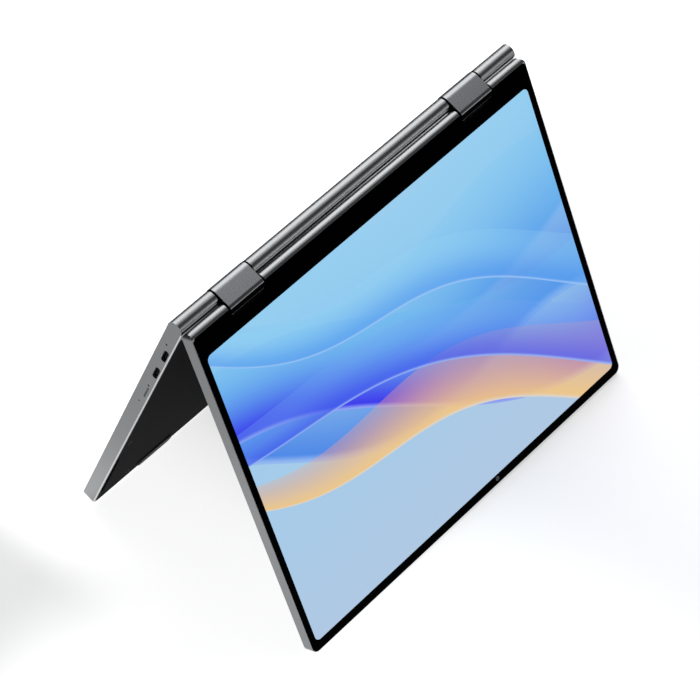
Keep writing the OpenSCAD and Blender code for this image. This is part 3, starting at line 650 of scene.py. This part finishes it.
def circuit_board(name, space, chip_below):
    """Green mask with tracks on a grid, gold vias, and black chips below a given height."""
    board = Finish(name, Specular_IOR_Level=0.5)
    place = board.place(space)
    grid = {0: place, "Scale": 0.45, "Mortar Size": 0.03, "Brick Width": 3.0, "Row Height": 0.4}
    tracks = board.node("ShaderNodeTexBrick", {"offset": 0.5}, grid, "Fac")
    cells = board.node("ShaderNodeTexVoronoi", {}, {"Vector": place, "Scale": 0.55}, "Distance")
    via = 1 - cells.step(0.10, 0.14)
    fibre = board.noise(place, 2.5, 3)
    mask = board.mix(fibre, (0.008, 0.05, 0.022, 1), (0.014, 0.075, 0.032, 1))
    mask = board.mix(0.55 * tracks, mask, (0.03, 0.13, 0.055, 1))
    mask = board.mix(via, mask, (0.62, 0.46, 0.18, 1))
    height = board.part(place, "Z")
    chip = 1 - height.step(chip_below - 0.02 - CHIP_EDGE, chip_below - 0.02)
    chip_black = board.mix(fibre, (0.010, 0.010, 0.011, 1), (0.02, 0.02, 0.022, 1))
    return board.feed(Base_Color=board.mix(chip, mask, chip_black), Metallic=via * (1 - chip),
                      Roughness=0.32 + 0.2 * fibre + 0.15 * chip,
                      Normal=board.bump(tracks * (1 - chip), 0.02 * MM))


paint("main_board", circuit_board("green_board", base_space, chip_below=-0.42))
paint("side_board", circuit_board("side_board_mask", base_space, chip_below=-3.8))
paint("solid_state_drive", circuit_board("drive_mask", base_space, chip_below=-2.62))
paint("wireless_card", circuit_board("wireless_mask", base_space, chip_below=-1.92))

# ---- Battery pack ----
# Four flat pouch cells in black film, joined by two moulded ribs. A flat connector on their rear
# edge leads to the board.
film = Finish("battery_film", Specular_IOR_Level=0.5)
film_place = film.place(base_space)
creases = film.noise(film_place, 0.25, 4, 0.6)
film.feed(Base_Color=film.mix(creases, (0.010, 0.010, 0.011, 1), (0.022, 0.022, 0.024, 1)),
          Roughness=0.35 + 0.2 * creases, Normal=film.bump(creases, 0.15 * MM))
paint("battery_pack", film.material)

# ---- Cooling ----
# A flat copper pipe carries the heat of the processor to soldered fins. A thin fan in a stamped
# steel housing blows through them and out under the hinge.
COPPER = (0.60, 0.27, 0.15)
FAN_GREY = (0.35, 0.35, 0.36)
IMPELLER_BLACK = (0.014, 0.014, 0.016)
PRESSED = (3, 3, 3)


def copper_skin(name, space):
    """Drawn copper: fine lines and darker, rougher tarnish in patches."""
    copper = Finish(name, Metallic=1.0)
    place = copper.place(space)
    tarnish = copper.noise(place, 0.2, 4, 0.6)
    lines = copper.noise(place, 4, 2)
    dull = tuple(0.55 * channel for channel in COPPER)
    colour = copper.mix(tarnish.step(0.35, 0.7), (*COPPER, 1), (*dull, 1))
    return copper.feed(Base_Color=colour, Roughness=0.22 + 0.22 * tarnish + 0.05 * lines,
                       Normal=copper.bump(lines, 0.004 * MM))


pipe_copper = copper_skin("pipe_copper", base_space)
for node in ("heat_pipe", "heat_sink"):
    paint(node, pipe_copper)
paint("fan_housing", steel_sheet("fan_steel", base_space, FAN_GREY, 0.38, PRESSED))
paint("fan_impeller", moulded("impeller_plastic", IMPELLER_BLACK, base_space, 0.42))

# ---- Speakers ----
# Two sealed boxes of black moulded plastic, set in the front corners of the base. They sound
# through the slots of the bottom cover.
SPEAKER_BLACK = (0.016, 0.016, 0.017)
speaker_plastic = moulded("speaker_plastic", SPEAKER_BLACK, base_space, 0.55)
for side in ("left", "right"):
    paint(side + "_speaker", speaker_plastic)

# ---- Hinge brackets, shafts and screws ----
# Pressed and sintered steel. Each bracket is screwed to its casing and holds its shaft, on which
# that casing turns in the hinge block.
SHAFT_GREY = (0.52, 0.52, 0.53)
TURNED = (0.4, 5, 5)
hinge_steel = steel_sheet("hinge_steel", base_space)
shaft_steel = steel_sheet("shaft_steel", base_space, SHAFT_GREY, 0.22, TURNED)
for side in ("left", "right"):
    for part in ("base", "lid"):
        paint("%s_%s_bracket" % (side, part), hinge_steel)
        paint("%s_%s_shaft" % (side, part), shaft_steel)
paint("hinge_screws", shaft_steel)

# ---- Hinge blocks ----
# Moulded black blocks that hold the two axes of a hinge apart. Each has round pockets for the
# washers and fills the mouth of its cover.
block_plastic = black_gap_shade_and_plastic(base_space)
for side in ("left", "right"):
    paint(side + "_hinge_block", block_plastic)

# ---- Hinge washers ----
# Stacks of hardened spring washers, pressed together on the shafts inside the blocks. Their grip
# holds the lid where it is put.
WASHER_GREY = (0.40, 0.39, 0.38)
washer_steel = steel_sheet("washer_steel", base_space, WASHER_GREY, 0.32, PRESSED)
for part in ("base", "lid"):
    paint(part + "_hinge_washers", washer_steel)

# ---- Hinge covers ----
# Short sleeves of extruded and anodised aluminium. Each is pushed over its hinge block and fills
# the notches that are cut in the two spines.
SLEEVE_GREY = (0.235, 0.24, 0.25)
SLEEVE_LEAST = 20
cover_sleeve = anodised("sleeve_anodising", SLEEVE_GREY, base_space, 0.26)
for side in ("left", "right"):
    node = side + "_hinge_cover"
    sleeve = cad_copy(node, base_space)
    # The edges round the sleeve's ends, and those that run from end to end.
    soften(sleeve, 0.12, lambda a, b: abs(a.x - b.x) < 0.01 or abs(a.x - b.x) > SLEEVE_LEAST)
    replace_node(node, sleeve, base_space, side + "_hinge", "anodised_metal", cover_sleeve)

# ---- Bottom cover ----
# A thin aluminium sheet with a dark matt coating, which closes the base from below.
# It is punched with the fan's and the speakers' slots and with the seats of its screws.
coating = Finish("cover_coating", Specular_IOR_Level=0.008)
coat_place = coating.place(base_space)
coat_grain = coating.noise(coat_place, 7, 3, 0.65)
coat_cloud = coating.noise(coat_place, 0.03, 3)
coating.feed(Base_Color=coating.mix(0.5 * coat_grain + 0.5 * coat_cloud,
                                    (0.006, 0.006, 0.007, 1), (0.013, 0.013, 0.0145, 1)),
             Roughness=0.6 + 0.15 * coat_grain, Normal=coating.bump(coat_grain, 0.01 * MM))
paint("bottom_cover", coating.material)

# ---- Bottom screws ----
# Eleven blackened steel screws with a cross recess. Their heads are sunk in the seats of the
# cover, and they hold it to the posts of the top case.
SCREW_BLACK = (0.012, 0.012, 0.013)
paint("bottom_screws", steel_sheet("black_screw_steel", base_space, SCREW_BLACK, 0.5, PRESSED))

# ---- Rubber feet ----
# Two short pads near the front and two longer ones near the hinge. They are moulded in black
# rubber and glued on the bottom cover.
rubber = Finish("foot_rubber", Specular_IOR_Level=0.25)
rubber_place = rubber.place(base_space)
dust = rubber.noise(rubber_place, 1.5, 4, 0.6)
rubber.feed(Base_Color=rubber.mix(dust, (0.010, 0.010, 0.010, 1), (0.024, 0.024, 0.024, 1)),
            Roughness=0.62 + 0.2 * dust, Normal=rubber.bump(dust, 0.03 * MM))
BASE_REACH = 232
BASE_TAPER = 1.2
SPINE_RADIUS = 5.2
FOOT_FACE = -0.85
foot_tilt = Matrix.Rotation(math.atan2(BASE_TAPER, BASE_REACH), 4, "X")
floor_space = base_space @ foot_tilt @ Matrix.Translation((0, 0, -SPINE_RADIUS * MM))
feet = cad_copy("rubber_feet", floor_space)
soften(feet, 0.35, lambda a, b: max(a.z, b.z) < FOOT_FACE)
replace_node("rubber_feet", feet, floor_space, "base", "rubber", rubber.material)

# ---- Lid shell ----
# The screen's back, milled from aluminium like the top case, with a round spine of its own. Painted
# shade darkens that spine beside each hinge.
opened = -math.radians(joints["left_hinge_turn"]["range_deg"][0] + joints["lid_hinge"]["range_deg"][0])
lid_axis = Vector(joints["lid_hinge"]["pos_m"])
lid_space = Matrix.Translation((0, lid_axis.y, lid_axis.z)) @ Matrix.Rotation(base_tilt + opened, 4, "X")
GLASS_SIDE = -4.19
LID_SIDE = 145
LID_FAR = 226
lid_shell = cad_copy("lid_shell", lid_space)
soften(lid_shell, 0.15, lambda a, b: max(a.z, b.z) < GLASS_SIDE and (a - b).length > SHORTEST_EDGE
       and (abs(a.x + b.x) > 2 * LID_SIDE or a.y + b.y > 2 * LID_FAR))
# Painted shade: the lid spine's ends beside each hinge are black, where the gaps to the covers lie.
paint_gap_shade(lid_shell, index=1, depth=5)
replace_node("lid_shell", lid_shell, lid_space, "lid", "anodised_metal",
             anodised("lid_anodising", CASE_GREY, lid_space), black_gap_shade_and_plastic(lid_space))

# ---- Screen stack ----
# Behind the glass lie the liquid crystal panel, its white light guide and a strip of driver
# board with its chips. The camera module and two foil antennas sit along the far edge.
panel = Finish("panel_polariser", Specular_IOR_Level=0.4)
panel_haze = panel.noise(panel.place(lid_space), 0.8, 3)
panel.feed(Base_Color=panel.mix(panel_haze, (0.012, 0.013, 0.016, 1), (0.02, 0.022, 0.027, 1)),
           Roughness=0.3 + 0.15 * panel_haze)
paint("lcd_panel", panel.material)
guide = Finish("light_guide_acrylic", Specular_IOR_Level=0.5)
guide_place = guide.place(lid_space)
guide_dots = guide.node("ShaderNodeTexVoronoi", {}, {"Vector": guide_place, "Scale": 0.8}, "Distance")
guide.feed(Base_Color=guide.mix(guide_dots, (0.86, 0.87, 0.88, 1), (0.72, 0.74, 0.76, 1)),
           Roughness=0.25 + 0.3 * guide_dots)
paint("light_guide", guide.material)
BELOW_ALL_CHIPS = -30
paint("panel_board", circuit_board("panel_board_mask", lid_space, chip_below=BELOW_ALL_CHIPS))
paint("antennas", copper_skin("antenna_foil", lid_space))
LENS_BLACK = (0.008, 0.008, 0.009)
lens_plastic = moulded("camera_plastic", LENS_BLACK, lid_space, 0.4)
paint("webcam_module", lens_plastic)

# ---- Cover glass ----
# A sheet of glass, printed black behind its border and bonded into the lid. The lit picture
# shows through a window with rounded corners.
PICTURE_HALF_WIDTH = 142.5
PICTURE_HALF_HEIGHT = 104.7
PICTURE_MIDDLE = 118.45
PICTURE_CORNER = 3.6
GLASS_FACE = -4.2
PALE_RIM = (0.55, 0.76, 0.96, 1)
glass = Finish("printed_glass", Specular_IOR_Level=0.004)
smudge = glass.noise(glass.place(lid_space), 0.02, 3)
glass.feed(Base_Color=glass.mix(smudge, (0.0001, 0.0001, 0.0001, 1), (0.0004, 0.0004, 0.0004, 1)),
           Roughness=0.04 + 0.04 * smudge)
picture = Finish("lit_picture", Base_Color=(0.0, 0.0, 0.0, 1), Specular_IOR_Level=0.005, Roughness=0.08,
                 Emission_Strength=1.0)
picture_place = picture.place(lid_space)
across = picture.part(picture_place, "X") / PICTURE_HALF_WIDTH
along = (picture.part(picture_place, "Y") - PICTURE_MIDDLE) / PICTURE_HALF_HEIGHT


def ribbon(ground, middle, slope, sway, pitch, phase, half_width, flare, inner, outer, strength):
    """One translucent wave that crosses the picture: a colour on either side and a thin pale rim."""
    swing = across * pitch + phase
    centre = middle + slope * across + sway * swing.math("SINE", swing)
    side = (along - centre) / (half_width + flare * across)
    edge = side.math("ABSOLUTE", side)
    body = 1 - edge.step(0.975, 1.0)
    rim = edge.step(0.86, 0.99) * body
    blend = (0.5 + 0.5 * side).clip()
    colour = picture.mix(blend.step(0.05, 0.95), (*inner, 1), (*outer, 1))
    veil = picture.mix((body * strength * (0.25 + 0.75 * blend)).clip(), ground, colour)
    return picture.mix(rim * blend * 0.5, veil, PALE_RIM)


# Each wave: its middle, slope, sway, pitch, phase, half width and flare, the colour on either side,
# and how much of the ground it hides.
PICTURE_WAVES = (
    (-0.62, -0.10, 0.16, 2.2, 0.6, 0.44, 0.06, (0.25, 0.62, 0.90), (0.12, 0.42, 0.84), 0.9),
    (-0.30, 0.34, 0.22, 2.6, 2.2, 0.50, 0.04, (0.20, 0.55, 0.88), (0.05, 0.22, 0.80), 0.95),
    (-0.06, 0.42, 0.20, 2.3, 0.2, 0.34, 0.10, (0.13, 0.46, 0.86), (0.045, 0.03, 0.84), 1.0),
    (0.34, 0.52, -0.16, 2.9, 0.9, 0.20, 0.11, (0.82, 0.36, 0.06), (0.88, 0.56, 0.20), 0.95),
    (0.10, 0.60, -0.24, 2.0, 1.4, 0.17, 0.06, (0.16, 0.36, 0.88), (0.06, 0.12, 0.84), 0.85),
    (-0.48, 0.62, 0.14, 3.2, 3.6, 0.15, 0.04, (0.30, 0.66, 0.92), (0.10, 0.34, 0.86), 0.7),
)
waves = picture.mix((0.5 - 0.5 * along).clip(), (0.43, 0.58, 0.77, 1), (0.33, 0.62, 0.86, 1))
for wave in PICTURE_WAVES:
    waves = ribbon(waves, *wave)
picture.feed(Emission_Color=waves)


def glass_sheet():
    """The glass with its hinge notches, cut along the window so that its faces can be lit."""
    mesh = cad_copy("display_glass", lid_space)
    near_front = (GLASS_FACE + 0.1) * MM
    front = [face for face in mesh.faces
             if face.normal.z < -0.99 and face.calc_center_median().z < near_front]
    bmesh.ops.delete(mesh, geom=front, context="FACES_ONLY")
    window = corner_ring(mesh, -PICTURE_HALF_WIDTH, PICTURE_HALF_WIDTH, PICTURE_MIDDLE - PICTURE_HALF_HEIGHT,
                         PICTURE_MIDDLE + PICTURE_HALF_HEIGHT, PICTURE_CORNER, GLASS_FACE, 8)
    for i, corner in enumerate(window):
        mesh.edges.new((corner, window[(i + 1) % len(window)]))
    rims = [edge for edge in mesh.edges if len(edge.link_faces) < 2
            and all(vertex.co.z < GLASS_SIDE * MM for vertex in edge.verts)]
    bmesh.ops.triangle_fill(mesh, use_beauty=True, edges=rims, normal=(0, 0, -1))
    mesh.faces.new(list(reversed(window))).material_index = 1
    return mesh


replace_node("display_glass", glass_sheet(), lid_space, "lid", "black_glass",
             glass.material, picture.material)

# ---- Camera ring ----
# A dark lens behind a clear round window in the print, with a thin ring of grey ink round it. The
# lens belongs to the camera module at the far edge of the lid.
WEBCAM_AT = (25.5, 225.9, GLASS_FACE)
# The half sections of the ring and the lens: a radius and a height towards the inside of the glass.
RING_SECTION = ((1.00, 0.05), (1.00, -0.03), (1.06, -0.05), (1.36, -0.05), (1.42, -0.03), (1.42, 0.05),
                (1.00, 0.05))
LENS_SECTION = ((0.95, 0.05), (0.95, -0.01), (0.8, -0.03), (0.5, -0.05), (0.2, -0.06))
TURN_STEPS = 40
ring_ink = Finish("ring_ink", Specular_IOR_Level=0.3)
ring_grain = ring_ink.noise(ring_ink.place(lid_space), 6, 2)
ring_ink.feed(Base_Color=ring_ink.mix(ring_grain, (0.09, 0.095, 0.10, 1), (0.14, 0.145, 0.15, 1)),
              Roughness=0.3 + 0.2 * ring_grain)


def turned_disc(name, body, material, profile, middle, space):
    """A profile of radius and height, in millimetres, turned about a line along Z."""
    mesh = bmesh.new()
    rings = []
    for radius, height in profile:
        angles = [2 * math.pi * step / TURN_STEPS for step in range(TURN_STEPS)]
        rings.append([mesh.verts.new((Vector(middle) + Vector(
            (radius * math.cos(angle), radius * math.sin(angle), height))) * MM) for angle in angles])
    for lower, upper in zip(rings, rings[1:]):
        join_rings(mesh, lower, upper)
    if profile[0] != profile[-1]:
        for ring in (rings[0], rings[-1]):
            mesh.faces.new(ring)
    bmesh.ops.remove_doubles(mesh, verts=mesh.verts, dist=0.001 * MM)
    bmesh.ops.recalc_face_normals(mesh, faces=mesh.faces)
    mesh.transform(space)
    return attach(make_piece(name, mesh, material), body)


turned_disc("camera_ring", "lid", ring_ink.material, RING_SECTION, WEBCAM_AT, lid_space)
turned_disc("camera_lens", "lid", lens_plastic, LENS_SECTION, WEBCAM_AT, lid_space)
